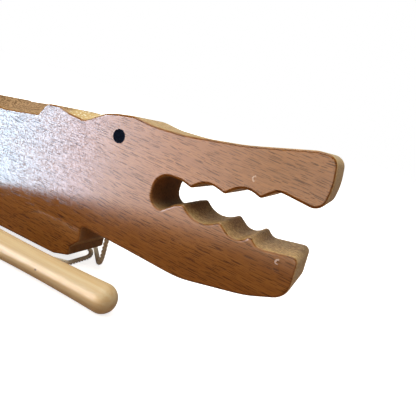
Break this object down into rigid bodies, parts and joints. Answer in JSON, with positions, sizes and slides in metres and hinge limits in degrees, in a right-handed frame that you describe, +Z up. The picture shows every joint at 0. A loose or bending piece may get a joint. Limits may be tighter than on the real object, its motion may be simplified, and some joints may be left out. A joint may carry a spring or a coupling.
{
  "type": "pull along toy",
  "caption": "Wooden crocodile pull toy: sawn board body with open jaws and carved back, dowel axles with turned wheels, jointed swinging tail, and a cord ending in a turned toggle handle.",
  "frame": {"origin": "on the flat belly face, in the middle of its width and near the middle of its length", "axes": "+X towards the snout, +Z up; y = 0 is the board's mid plane"},
  "size_m": [0.3985, 0.0932, 0.0774],
  "materials": {
    "beech": "satin lacquered beech",
    "pale_wood": "satin lacquered pale hardwood",
    "eye_black": "near black stain",
    "cord": "natural cotton",
    "felt": "pressed felt"
  },
  "bodies": {
    "torso": {"body_board": "beech", "eye_right": "eye_black", "eye_left": "eye_black", "cord_plug": "pale_wood", "pull_cord": "cord", "tail_pin_front": "pale_wood"},
    "front_wheels": {"front_axle": "pale_wood", "front_washers": "felt", "front_wheel_right": "beech", "front_wheel_left": "beech"},
    "rear_wheels": {"rear_axle": "pale_wood", "rear_washers": "felt", "rear_wheel_right": "beech", "rear_wheel_left": "beech"},
    "tail_front": {"tail_front": "beech", "tail_pin_middle": "pale_wood"},
    "tail_middle": {"tail_middle": "beech", "tail_pin_rear": "pale_wood"},
    "tail_tip": {"tail_tip": "beech"},
    "handle": {"pull_handle": "pale_wood"}
  },
  "joints": [
    {"name": "front_wheel_spin", "type": "hinge", "parent": "torso", "child": "front_wheels", "pos_m": [0.029, 0, 0.0114], "axis": [0, 1, 0], "continuous": true},
    {"name": "rear_wheel_spin", "type": "hinge", "parent": "torso", "child": "rear_wheels", "pos_m": [-0.053, 0, 0.0114], "axis": [0, 1, 0], "continuous": true},
    {"name": "tail_front_swing", "type": "hinge", "parent": "torso", "child": "tail_front", "pos_m": [-0.071, 0, 0.015], "axis": [0, 0, 1], "range_deg": [-30, 30]},
    {"name": "tail_middle_swing", "type": "hinge", "parent": "tail_front", "child": "tail_middle", "pos_m": [-0.109, 0, 0.013], "axis": [0, 0, 1], "range_deg": [-30, 30]},
    {"name": "tail_tip_swing", "type": "hinge", "parent": "tail_middle", "child": "tail_tip", "pos_m": [-0.147, 0, 0.011], "axis": [0, 0, 1], "range_deg": [-30, 30]},
    {"name": "handle_pull", "type": "slide", "parent": "torso", "child": "handle", "axis": [1, 0, 0], "range_m": [0, 0.12], "deforming": ["pull_cord"]}
  ]
}
